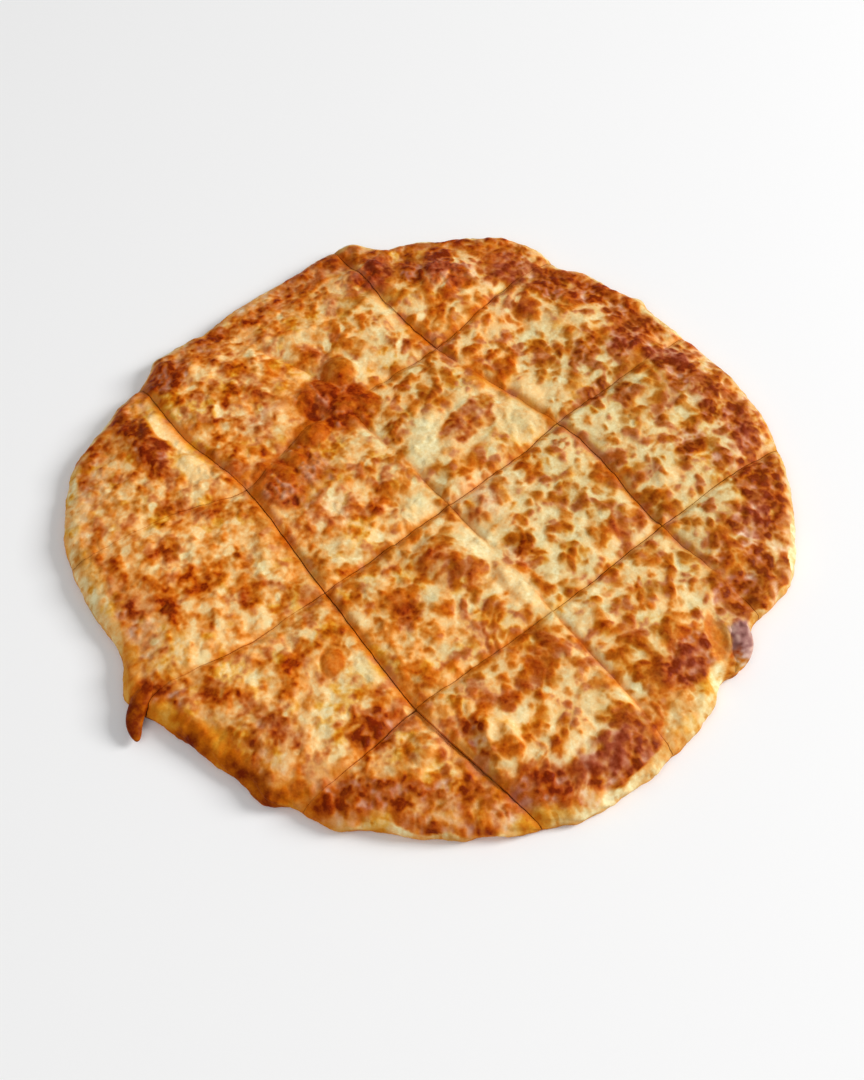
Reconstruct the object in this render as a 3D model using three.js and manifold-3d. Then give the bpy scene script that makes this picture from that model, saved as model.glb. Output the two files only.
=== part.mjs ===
// A round, flat cheese feteer, baked brown and cut by hand into sixteen slices that still lie together.
// Millimetres, +Z up. The origin is under the middle of the pie, on the surface that it rests on.
// Each slice is one closed solid, named by its band across the falling cuts (a to d, near left to far right)
// and its band across the rising cuts (1 to 4, far left to near right).
import * as THREE from 'three';
import { mergeVertices } from 'three/addons/utils/BufferGeometryUtils.js';
import Module from 'manifold-3d';

const wasm = await Module();
wasm.setup();

// Thickness of the pie and form of its edge
const MIDDLE_THICKNESS = 12;
const RIM_THICKNESS = 8;
const RIM_FALL = 30; // width of the band in which the top sinks from the middle to the rim
const RIM_ROUND = 6.5; // width of the rounded edge, seen from above
const RIM_WAIST = 3.5; // height at which the edge reaches furthest out
const RIM_TUCK = 2; // how far the edge draws in under its waist

// Outline of the hand-stretched round: the rim's radius at equal steps of angle, counter-clockwise from +X
const RIM_RADII = [
  149.8, 149.2, 144.5, 141.8, 142.3, 147.4, 144.6, 141.7, 137.3, 134.8, 139.8, 143.5,
  150.3, 146.5, 139.2, 141, 141.8, 144.8, 145.5, 147.6, 147.8, 144, 142.8, 149.7,
];

// Short swells (+) and notches (-) of the rim: angle and half width in degrees, reach in mm
const RIM_SWELLS = [
  { at: 48.5, half: 2, reach: 3 },
  { at: 65, half: 3.5, reach: -3.2 },
  { at: 76.5, half: 7, reach: 2.5 },
  { at: 98, half: 3, reach: -3.2 },
  { at: 104.5, half: 3.4, reach: 4 },
  { at: 109, half: 3.5, reach: 2.4 },
  { at: 148, half: 3, reach: 1.6 },
  { at: 154.5, half: 3.5, reach: -2.6 },
  { at: 172, half: 5, reach: 2.6 },
  { at: 218.5, half: 5, reach: 7 },
  { at: 245.5, half: 3, reach: 2.6 },
  { at: 250, half: 2.5, reach: -1.5 },
  { at: 257.5, half: 2.5, reach: 1.2 },
  { at: 262, half: 3, reach: -1.5 },
  { at: 292, half: 5, reach: 1.2 },
  { at: 323, half: 2.2, reach: -3.3 },
  { at: 336.2, half: 3.6, reach: -5.8 },
  { at: 342, half: 2.4, reach: -1.6 },
];

// Cuts: points on the knife's path, from one side of the rim to the other
const CUT_GAP = 0.6;
const FALLING_CUTS = [
  [[-131, 65], [-120, 51], [-103, 28], [-75, 1], [-41, -47], [-5, -97], [36, -137], [48, -149]],
  [[-112, 94], [-77, 76], [-49, 60], [-37, 45], [8, -6], [48, -56], [79, -97], [95, -119]],
  [[-48, 142], [-20, 103], [3, 76], [30, 55], [54, 36], [71, 18], [94, -16], [128, -53], [145, -73]],
];
const RISING_CUTS = [
  [[-158, -42], [-139, -31], [-104, -11], [-75, 1], [-56, 27], [-37, 45], [3, 76], [31, 108], [66, 140]],
  [[-100, -128], [-106.5, -98], [-101.5, -88], [-88, -80], [-66, -67.5], [-41, -47], [8, -6],
    [37, 18.5], [54, 36], [96, 71], [120, 93]],
  [[-64, -151], [-22, -114], [-5, -97], [48, -56], [94, -16], [131, 14], [156, 33]],
];
const CUT_STEPS = 48;
const FAR_OUT = 320;

// The top sinks beside each cut, so every slice is a low pillow
const PILLOW_SINK = 1.1;
const PILLOW_REACH = 7;

// How far each slice stands above (+) or below (-) the others: a row for each band a to d, slices 1 to 4
const SLICE_LIFT = [
  [0.3, 0.2, 0, -0.7],
  [0.2, 0.5, 0.3, 0.8],
  [-0.2, 0, -0.2, 0],
  [0.2, -0.3, 0, -0.2],
];

// Blisters, puffed places and hollows (-) of the top: centre, half length, half width, turn in degrees, rise
const BLISTERS = [
  { name: 'double blister, far dome', x: -39, y: 64, long: 11, wide: 10, turn: 20, rise: 4 },
  { name: 'double blister, near dome', x: -41, y: 48, long: 17, wide: 11, turn: 8, rise: 3 },
  { name: 'dome by the double blister', x: -49, y: 28, long: 11, wide: 9, turn: 60, rise: 3 },
  { name: 'blister at the left crossing', x: -63, y: 1, long: 13, wide: 8, turn: -50, rise: 2.2 },
  { name: 'middle dome', x: 9, y: -34, long: 18, wide: 13, turn: -30, rise: 3.2 },
  { name: 'ridge beside the middle dome', x: 33, y: -40, long: 25, wide: 8, turn: -53, rise: 1.6 },
  { name: 'browned oval', x: 17, y: 36, long: 19, wide: 10, turn: 52, rise: 1 },
  { name: 'crater blister', x: 26, y: -111, long: 15, wide: 10, turn: -62, rise: 2.8 },
  { name: 'hollow of the crater blister', x: 27.5, y: -113, long: 10, wide: 5.5, turn: -62, rise: -1.8 },
  { name: 'near blister', x: -1, y: -114, long: 9, wide: 8, turn: 0, rise: 1.8 },
  { name: 'near left oval', x: -37, y: -79, long: 10, wide: 7, turn: 80, rise: 1.4 },
  { name: 'left rim roll', x: -120, y: 24, long: 24, wide: 9, turn: -52, rise: 1.8 },
  { name: 'far rim puff', x: 10, y: 117, long: 16, wide: 13, turn: 10, rise: 1.6 },
  { name: 'far left rim puff', x: -30, y: 119, long: 13, wide: 10, turn: 30, rise: 1.5 },
  { name: 'right rim puff', x: 118, y: 55, long: 20, wide: 10, turn: -60, rise: 1.2 },
  { name: 'near right rim puff', x: 70, y: -112, long: 20, wide: 9, turn: 28, rise: 1.3 },
  { name: 'fold beside the crust flap', x: 111.3, y: -66, long: 13, wide: 5, turn: 100, rise: -1.3 },
];

// Slow waves of the whole top: length of the wave, its direction in degrees, height
const WAVES = [
  { length: 95, turn: 25, height: 0.35 },
  { length: 70, turn: 110, height: 0.3 },
  { length: 46, turn: 65, height: 0.25 },
];

// Torn edges that reach out past the rim: the middle line, its half width and its half thickness
const TORN_EDGES = {
  a2: {
    name: 'hanging curl',
    path: [[-97, -77, 6], [-105.2, -85.4, 6.6], [-109.6, -92.5, 6], [-111.3, -100, 4.6], [-109.6, -107.5, 3]],
    halfWidth: 3.8,
    halfThickness: 2.8,
  },
  c4: {
    name: 'crust flap',
    path: [[116.5, -55, 5.6], [120.3, -63, 6.8], [120.6, -70, 6.6], [117.6, -79, 4.8]],
    halfWidth: 4.8,
    halfThickness: 2.5,
  },
};

// Fineness of the solids
const TOP_RINGS = 33;
const EDGE_ROWS = 3;
const SPOKES = 6; // each ring has this many more corners than the one inside it

const CRUST_COLOUR = 0xc98343;
const CRUST_ROUGHNESS = 0.55;

// Smooth closed curve through the rim's radii, with the short swells added
function rimRadius(angle) {
  const turns = THREE.MathUtils.euclideanModulo(angle / (2 * Math.PI), 1);
  const place = turns * RIM_RADII.length;
  const step = Math.floor(place);
  const part = place - step;
  const near = [-1, 0, 1, 2].map((k) => RIM_RADII[(step + k + RIM_RADII.length) % RIM_RADII.length]);
  const [before, start, end, after] = near;
  const cubic = 3 * (start - end) + after - before;
  const square = 2 * before - 5 * start + 4 * end - after;
  let radius = start + 0.5 * part * (end - before + part * (square + part * cubic));
  for (const { at, half, reach } of RIM_SWELLS) {
    const off = THREE.MathUtils.euclideanModulo(turns * 360 - at + 180, 360) - 180;
    radius += reach * Math.exp(-((off / half) ** 2));
  }
  return radius;
}

// Points along a cut, evenly spaced
function cutLine(points) {
  const curve = new THREE.SplineCurve(points.map(([x, y]) => new THREE.Vector2(x, y)));
  return curve.getSpacedPoints(CUT_STEPS);
}

// The same line moved sideways, to its left where the distance is positive
function besideLine(line, distance) {
  return line.map((point, k) => {
    const ahead = line[Math.min(k + 1, line.length - 1)];
    const behind = line[Math.max(k - 1, 0)];
    const along = ahead.clone().sub(behind).normalize();
    return new THREE.Vector2(point.x - along.y * distance, point.y + along.x * distance);
  });
}

// The line that closes an outer band, far outside the rim
function farLine(line, distance) {
  const start = line[0];
  const end = line[line.length - 1];
  const along = end.clone().sub(start).normalize();
  return [start, end].map((p) => new THREE.Vector2(p.x - along.y * distance, p.y + along.x * distance));
}

// Distance from a point to the nearest cut
function cutDistance(x, y) {
  let nearest = Infinity;
  for (const line of allCuts) {
    for (let k = 1; k < line.length; k += 1) {
      const start = line[k - 1];
      const span = line[k].clone().sub(start);
      const reach = new THREE.Vector2(x, y).sub(start);
      const part = THREE.MathUtils.clamp(reach.dot(span) / span.lengthSq(), 0, 1);
      nearest = Math.min(nearest, reach.distanceTo(span.multiplyScalar(part)));
    }
  }
  return nearest;
}

// Rise of one blister at a point: a smooth dome that ends level with the top
function blisterRise({ x: middleX, y: middleY, long, wide, turn, rise }, x, y) {
  const angle = THREE.MathUtils.degToRad(turn);
  const along = ((x - middleX) * Math.cos(angle) + (y - middleY) * Math.sin(angle)) / long;
  const across = ((y - middleY) * Math.cos(angle) - (x - middleX) * Math.sin(angle)) / wide;
  const inside = Math.max(0, 1 - along * along - across * across);
  return rise * inside * inside * (3 - 2 * inside);
}

// Rise of one slow wave at a point
function waveRise({ length, turn, height }, x, y) {
  const angle = THREE.MathUtils.degToRad(turn);
  return height * Math.sin((2 * Math.PI * (x * Math.cos(angle) + y * Math.sin(angle))) / length);
}

// Full thickness of the pie at a point of a slice
function thickness(x, y, lift) {
  const fromRim = rimRadius(Math.atan2(y, x)) - Math.hypot(x, y);
  const body = THREE.MathUtils.smoothstep(fromRim, 0, RIM_FALL);
  let height = RIM_THICKNESS + (MIDDLE_THICKNESS - RIM_THICKNESS) * body + lift * body;
  height -= PILLOW_SINK * Math.exp(-((cutDistance(x, y) / PILLOW_REACH) ** 2));
  for (const blister of BLISTERS) {
    height += blisterRise(blister, x, y);
  }
  for (const wave of WAVES) {
    height += waveRise(wave, x, y);
  }
  return height;
}

// Mesh arrays to a solid, and a three.js geometry to a solid
function solidFrom(positions, triangles) {
  const vertProperties = new Float32Array(positions);
  const triVerts = new Uint32Array(triangles);
  return new wasm.Manifold(new wasm.Mesh({ numProp: 3, vertProperties, triVerts }));
}

function solidFromGeometry(geometry) {
  const bare = geometry.clone();
  bare.deleteAttribute('normal');
  bare.deleteAttribute('uv');
  const merged = mergeVertices(bare);
  return solidFrom(merged.attributes.position.array, merged.index.array);
}

// The uncut pie with a level top: rings of triangles, a rounded edge and a flat underside
function levelPie() {
  const positions = [0, 0, MIDDLE_THICKNESS];
  const triangles = [];
  const rimCorners = SPOKES * TOP_RINGS;
  const ringStart = (ring) => (ring === 0 ? 0 : 1 + (SPOKES * ring * (ring - 1)) / 2);

  function addRow(corners, share, inset, height) {
    for (let k = 0; k < corners; k += 1) {
      const angle = (2 * Math.PI * k) / corners;
      const radius = (rimRadius(angle) - inset) * share;
      positions.push(radius * Math.cos(angle), radius * Math.sin(angle), height);
    }
  }

  for (let ring = 1; ring <= TOP_RINGS; ring += 1) {
    addRow(SPOKES * ring, ring / TOP_RINGS, RIM_ROUND, MIDDLE_THICKNESS);
    const outer = (k) => ringStart(ring) + (k % (SPOKES * ring));
    const inner = (k) => ringStart(ring - 1) + (ring === 1 ? 0 : k % (SPOKES * (ring - 1)));
    for (let spoke = 0; spoke < SPOKES; spoke += 1) {
      for (let k = 0; k < ring; k += 1) {
        const out = spoke * ring + k;
        const into = spoke * (ring - 1) + k;
        triangles.push(outer(out), outer(out + 1), inner(into));
        if (k < ring - 1) {
          triangles.push(inner(into), outer(out + 1), inner(into + 1));
        }
      }
    }
  }

  let upper = ringStart(TOP_RINGS);
  function joinRow() {
    const lower = upper + rimCorners;
    for (let k = 0; k < rimCorners; k += 1) {
      const next = (k + 1) % rimCorners;
      triangles.push(upper + k, lower + k, lower + next);
      triangles.push(upper + k, lower + next, upper + next);
    }
    upper = lower;
  }

  for (let row = 1; row <= EDGE_ROWS; row += 1) {
    const angle = (Math.PI / 2) * (row / EDGE_ROWS);
    const height = RIM_WAIST + (MIDDLE_THICKNESS - RIM_WAIST) * Math.cos(angle);
    addRow(rimCorners, 1, RIM_ROUND * (1 - Math.sin(angle)), height);
    joinRow();
  }
  addRow(rimCorners, 1, RIM_TUCK, 0);
  joinRow();

  const underside = positions.length / 3;
  positions.push(0, 0, 0);
  for (let k = 0; k < rimCorners; k += 1) {
    triangles.push(upper + k, underside, upper + ((k + 1) % rimCorners));
  }
  return solidFrom(positions, triangles);
}

// Upright blocks between neighbouring cuts; the outer two reach far past the rim.
// Every list of cuts runs so that the next cut lies to the left (side 1) or to the right (side -1).
function bandBlocks(lines, side) {
  const half = (CUT_GAP / 2) * side;
  const blocks = [];
  for (let band = 0; band <= lines.length; band += 1) {
    const first = band === 0
      ? farLine(lines[0], -FAR_OUT * side)
      : besideLine(lines[band - 1], half);
    const last = band === lines.length
      ? farLine(lines[band - 1], FAR_OUT * side)
      : besideLine(lines[band], -half);
    const outline = new THREE.Shape([...first, ...last.reverse()]);
    const block = new THREE.ExtrudeGeometry(outline, { depth: FAR_OUT, bevelEnabled: false });
    block.translate(0, 0, -FAR_OUT / 2);
    blocks.push(solidFromGeometry(block));
  }
  return blocks;
}

// Gives a level slice its real thickness, point by point, from the flat underside up
function raiseSlice(slice, lift) {
  const mesh = slice.getMesh();
  const positions = Array.from(mesh.vertProperties);
  for (let k = 0; k < positions.length; k += 3) {
    const share = positions[k + 2] / MIDDLE_THICKNESS;
    positions[k + 2] = share * thickness(positions[k], positions[k + 1], lift);
  }
  return solidFrom(positions, mesh.triVerts);
}

// A flat torn tongue with round ends that follows its middle line
function tornEdge({ path, halfWidth, halfThickness }) {
  const line = new THREE.CatmullRomCurve3(path.map((point) => new THREE.Vector3(...point)));
  const tongue = new THREE.SphereGeometry(1, 14, 12);
  const position = tongue.attributes.position;
  for (let k = 0; k < position.count; k += 1) {
    const along = (position.getY(k) + 1) / 2;
    const middle = line.getPointAt(along);
    const tangent = line.getTangentAt(along);
    const aside = new THREE.Vector3(-tangent.y, tangent.x, 0).normalize();
    const above = new THREE.Vector3().crossVectors(tangent, aside);
    middle.addScaledVector(aside, -position.getX(k) * halfWidth);
    middle.addScaledVector(above, position.getZ(k) * halfThickness);
    position.setXYZ(k, middle.x, middle.y, middle.z);
  }
  return solidFromGeometry(tongue);
}

function meshFrom(solid, name) {
  const { vertProperties, triVerts } = solid.getMesh();
  const geometry = new THREE.BufferGeometry();
  geometry.setAttribute('position', new THREE.BufferAttribute(vertProperties, 3));
  geometry.setIndex(new THREE.BufferAttribute(triVerts, 1));
  geometry.computeVertexNormals();
  const crust = new THREE.MeshStandardMaterial({ color: CRUST_COLOUR, roughness: CRUST_ROUGHNESS });
  const mesh = new THREE.Mesh(geometry, crust);
  mesh.name = name;
  return mesh;
}

const fallingLines = FALLING_CUTS.map(cutLine);
const risingLines = RISING_CUTS.map(cutLine);
const allCuts = [...fallingLines, ...risingLines];

const pie = levelPie();
const lettered = bandBlocks(fallingLines, 1);
const numbered = bandBlocks(risingLines, -1);

const feteer = new THREE.Group();
lettered.forEach((letterBlock, band) => {
  const strip = pie.intersect(letterBlock);
  numbered.forEach((numberBlock, place) => {
    const key = 'abcd'[band] + (place + 1);
    let slice = raiseSlice(strip.intersect(numberBlock), SLICE_LIFT[band][place]);
    if (TORN_EDGES[key]) {
      slice = slice.add(tornEdge(TORN_EDGES[key]).intersect(letterBlock).intersect(numberBlock));
    }
    feteer.add(meshFrom(slice, `slice_${key}`));
  });
});

// The origin goes under the middle of the whole pie
const box = new THREE.Box3().setFromObject(feteer);
const middle = box.getCenter(new THREE.Vector3());
feteer.position.set(-middle.x, -middle.y, -box.min.z);

export default feteer;
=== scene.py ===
# %% [markdown]
# # A hand-cut cheese feteer
# The real thing is a round, flat pie of stretched dough under melted cheese, browned in blisters and
# cut with a knife into sixteen slices that nobody has taken yet. The solid model is loaded first as a
# fixed frame. Every slice below is rebuilt finely in that same frame and stands for its plain solid.

# %% Load the frame
import math

import bmesh
import bpy
import numpy as np
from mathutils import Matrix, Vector


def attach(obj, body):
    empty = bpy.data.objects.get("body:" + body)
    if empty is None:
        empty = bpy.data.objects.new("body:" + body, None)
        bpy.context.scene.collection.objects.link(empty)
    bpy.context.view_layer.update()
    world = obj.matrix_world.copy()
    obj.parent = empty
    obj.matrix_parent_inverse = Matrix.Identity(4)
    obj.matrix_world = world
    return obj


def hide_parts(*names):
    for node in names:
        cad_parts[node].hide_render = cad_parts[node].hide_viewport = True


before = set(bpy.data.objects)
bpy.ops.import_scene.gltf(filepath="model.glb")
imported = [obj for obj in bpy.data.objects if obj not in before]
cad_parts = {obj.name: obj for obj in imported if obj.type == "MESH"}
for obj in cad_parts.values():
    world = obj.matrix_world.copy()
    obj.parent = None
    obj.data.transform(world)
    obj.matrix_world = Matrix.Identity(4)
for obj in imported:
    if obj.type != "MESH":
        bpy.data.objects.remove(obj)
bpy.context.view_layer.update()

MM = 0.001

# %% [markdown]
# ## The outline of the round
# A hand-stretched pie is never a circle. Its radius could be traced point by point, but a few radii at
# equal steps with a smooth curve through them, and a handful of short swells and notches (angle, half
# width and reach), say the same thing and can be changed by hand. Lengths here are millimetres, and
# angles in tables are degrees, counter-clockwise from +X.

# %% Rim radius at any angle
RIM_RADII = np.array([
    149.8, 149.2, 144.5, 141.8, 142.3, 147.4, 144.6, 141.7, 137.3, 134.8, 139.8, 143.5,
    150.3, 146.5, 139.2, 141, 141.8, 144.8, 145.5, 147.6, 147.8, 144, 142.8, 149.7,
])
RIM_SWELLS = (
    (48.5, 2, 3), (65, 3.5, -3.2), (76.5, 7, 2.5), (98, 3, -3.2), (104.5, 3.4, 4), (109, 3.5, 2.4),
    (148, 3, 1.6), (154.5, 3.5, -2.6), (172, 5, 2.6), (218.5, 5, 7), (245.5, 3, 2.6), (250, 2.5, -1.5),
    (257.5, 2.5, 1.2), (262, 3, -1.5), (292, 5, 1.2), (323, 2.2, -3.3), (336.2, 3.6, -5.8),
    (342, 2.4, -1.6),
)


def smooth_between(before, start, end, after, part):
    """The point a share, 0 to 1, of the way from start to end on a smooth curve through all four."""
    cubic = 3 * (start - end) + after - before
    square = 2 * before - 5 * start + 4 * end - after
    return start + 0.5 * part * (end - before + part * (square + part * cubic))


def angle_from(at, degrees):
    """Turn from one angle to others, -180 to 180 degrees."""
    return (degrees - at + 180) % 360 - 180


def rim_radius(angle):
    """Radius of the rim in mm at an angle in radians."""
    count = len(RIM_RADII)
    place = (angle / (2 * np.pi) % 1.0) * count
    step = np.floor(place).astype(int)
    corners = (RIM_RADII[(step + k) % count] for k in (-1, 0, 1, 2))
    radius = smooth_between(*corners, place - step)
    for at, half, reach in RIM_SWELLS:
        radius = radius + reach * np.exp(-((angle_from(at, np.degrees(angle)) / half) ** 2))
    return radius


def from_rim(x, y):
    """Distance in from the rim, in mm: negative outside it."""
    return rim_radius(np.arctan2(y, x)) - np.hypot(x, y)


all_round = rim_radius(np.linspace(0, 2 * np.pi, 720))
print("rim radius runs from", all_round.min().round(1), "to", all_round.max().round(1), "mm")

# %% [markdown]
# ## The knife's paths
# Three cuts fall from far left to near right and three rise across them. A knife rocks as it goes, so
# each path is a smooth curve through a few points that were read off the pie. The cut doesn't
# stand open evenly: in some places (centre, reach and how much) the melted cheese pressed it shut again.

# %% Cut lines
WIDE_GAP = 0.4
TIGHT_GAP = 0.08
FALLING_CUTS = (
    ((-131, 65), (-120, 51), (-103, 28), (-75, 1), (-41, -47), (-5, -97), (36, -137), (48, -149)),
    ((-112, 94), (-77, 76), (-49, 60), (-37, 45), (8, -6), (48, -56), (79, -97), (95, -119)),
    ((-48, 142), (-20, 103), (3, 76), (30, 55), (54, 36), (71, 18), (94, -16), (128, -53), (145, -73)),
)
RISING_CUTS = (
    ((-158, -42), (-139, -31), (-104, -11), (-75, 1), (-56, 27), (-37, 45), (3, 76), (31, 108), (66, 140)),
    ((-100, -128), (-106.5, -98), (-101.5, -88), (-88, -80), (-66, -67.5), (-41, -47), (8, -6),
     (37, 18.5), (54, 36), (96, 71), (120, 93)),
    ((-64, -151), (-22, -114), (-5, -97), (48, -56), (94, -16), (131, 14), (156, 33)),
)
CUT_STEPS = 160
STEPS_BETWEEN_POINTS = 60
TIGHT_PLACES = (
    (-85, 80, 24, 0.9), (-14, 20, 13, 0.8), (34, -38, 19, 0.95), (84, -103, 12, 0.7),
    (-28, 114, 10, 0.5), (-17, 98, 6, 0.8), (15, 65, 6, 0.9), (118, -45, 12, 0.9),
    (-125, -24, 20, 0.85), (-87, -5, 5, 0.9), (-65, 14, 6, 0.95), (44, 120, 9, 0.9),
    (-95, -86, 16, 0.85), (-56, -58, 9, 0.85), (97, 72, 9, 0.9), (-40, -130, 16, 0.9),
    (3, -104, 6, 0.8), (-36, -42, 4, 0.6), (111, -2, 10, 0.5), (-43, 48, 17, 0.97),
    (-106, -14, 16, 0.9),
)


def cut_line(points):
    """Evenly spaced points on a smooth curve through the given ones."""
    given = np.array(points, float)
    padded = np.vstack([given[:1], given, given[-1:]])
    part = np.linspace(0, 1, STEPS_BETWEEN_POINTS, endpoint=False)[:, None]
    stretches = [smooth_between(*four, part) for four in zip(padded, padded[1:], padded[2:], padded[3:])]
    dense = np.vstack(stretches + [given[-1:]])
    along = np.concatenate([[0], np.cumsum(np.hypot(*np.diff(dense, axis=0).T))])
    even = np.linspace(0, along[-1], CUT_STEPS + 1)
    return np.stack([np.interp(even, along, dense[:, k]) for k in (0, 1)], axis=1)


def cut_open(x, y):
    """How far a cut stands open at a place: 1 wide, 0 where the slices press together."""
    share = np.ones_like(x)
    for place_x, place_y, reach, tight in TIGHT_PLACES:
        share *= 1 - tight * np.exp(-((x - place_x) ** 2 + (y - place_y) ** 2) / reach ** 2)
    return share


falling_lines = [cut_line(points) for points in FALLING_CUTS]
rising_lines = [cut_line(points) for points in RISING_CUTS]
for line in falling_lines + rising_lines:
    print("cut of", round(float(np.hypot(*np.diff(line, axis=0).T).sum())), "mm")

# %% [markdown]
# ## Maps of the top
# Browning and relief belong together on baked cheese: a bubble swells, dries and browns first. Painting
# colour with one texture and bumps with another would lose that. Instead both are drawn here on one
# square map of the top, a quarter of a millimetre to a cell, and each fine vertex reads its own place.
# Soft noise is made by blurring seeded random numbers with a Fourier transform.

# %% The map's grid and its noise
CELL = 0.25
MAP_HALF = 160.0
SIDE = int(2 * MAP_HALF / CELL)
axis = (np.arange(SIDE) + 0.5) * CELL - MAP_HALF
map_x, map_y = np.meshgrid(axis, axis)
frequency = np.fft.fftfreq(SIDE, CELL)
across_frequency = frequency[None, : SIDE // 2 + 1]
up_frequency = frequency[:, None]


def softened(field, sigma, stretch=1.0, turn=0.0):
    """The field blurred over sigma millimetres, and further along a turn where it is stretched."""
    cosine = math.cos(math.radians(turn))
    sine = math.sin(math.radians(turn))
    along = across_frequency * cosine + up_frequency * sine
    aside = up_frequency * cosine - across_frequency * sine
    keep = np.exp(-2 * (np.pi * sigma) ** 2 * ((stretch * along) ** 2 + aside ** 2))
    return np.fft.irfft2(np.fft.rfft2(field) * keep, s=field.shape)


def noise(sigma, seed, stretch=1.0, turn=0.0):
    """Seeded soft noise, mean 0 and deviation 1: lumps about three sigma across."""
    raw = softened(np.random.default_rng(seed).standard_normal((SIDE, SIDE)), sigma, stretch, turn)
    return (raw - raw.mean()) / raw.std()


def ease(low, high, value):
    """0 at low, 1 at high, smooth between; low may be the larger."""
    part = np.clip((value - low) / (high - low), 0, 1)
    return part * part * (3 - 2 * part)


def blend(field, other, share):
    """The field where the share is 0, the other where it is 1."""
    return field + (other - field) * share


print("map of", SIDE, "by", SIDE, "cells")

# %% [markdown]
# ## Measuring on the map
# Some maps need distances, from the rim or from the nearest cut. A search tree could find them, but each
# cut is a row of short straight steps, so a step can mark the few cells near it and the smallest distance
# stays. A copy of the grid, pushed about by soft noise, will make the edges of round patches uneven.

# %% Distances and the drifted grid
DISTANCE_REACH = 20


def window(x, y, reach):
    """The part of the map within reach of a place."""
    left, right = np.searchsorted(axis, (x - reach, x + reach))
    low, high = np.searchsorted(axis, (y - reach, y + reach))
    return np.s_[low:high, left:right]


def distance_map(lines):
    """Distance from each cell to the nearest line, up to the reach."""
    field = np.full((SIDE, SIDE), float(DISTANCE_REACH))
    for line in lines:
        for start, end in zip(line, line[1:]):
            middle = (start + end) / 2
            place = window(middle[0], middle[1], DISTANCE_REACH + 2)
            span = end - start
            to_x = map_x[place] - start[0]
            to_y = map_y[place] - start[1]
            part = np.clip((to_x * span[0] + to_y * span[1]) / (span @ span), 0, 1)
            away = np.hypot(to_x - part * span[0], to_y - part * span[1])
            field[place] = np.minimum(field[place], away)
    return field


def round_share(x, y, wide, deep):
    """1 at a place, fading softly to 0 over a width and a depth."""
    return np.exp(-(((map_x - x) / wide) ** 2) - ((map_y - y) / deep) ** 2)


cut_distance = distance_map(falling_lines + rising_lines)
open_share = cut_open(map_x, map_y)
rim_in = from_rim(map_x, map_y)
inside = rim_in > 0
drift_x = map_x + 0.9 * noise(4.0, 11) + 0.3 * noise(1.8, 15) + 0.2 * noise(0.8, 12)
drift_y = map_y + 0.9 * noise(4.0, 13) + 0.3 * noise(1.8, 16) + 0.2 * noise(0.8, 14)
print("the pie covers", inside.mean().round(2), "of the map, drifted by up to",
      np.abs(drift_x - map_x).max().round(1), "mm")
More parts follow.
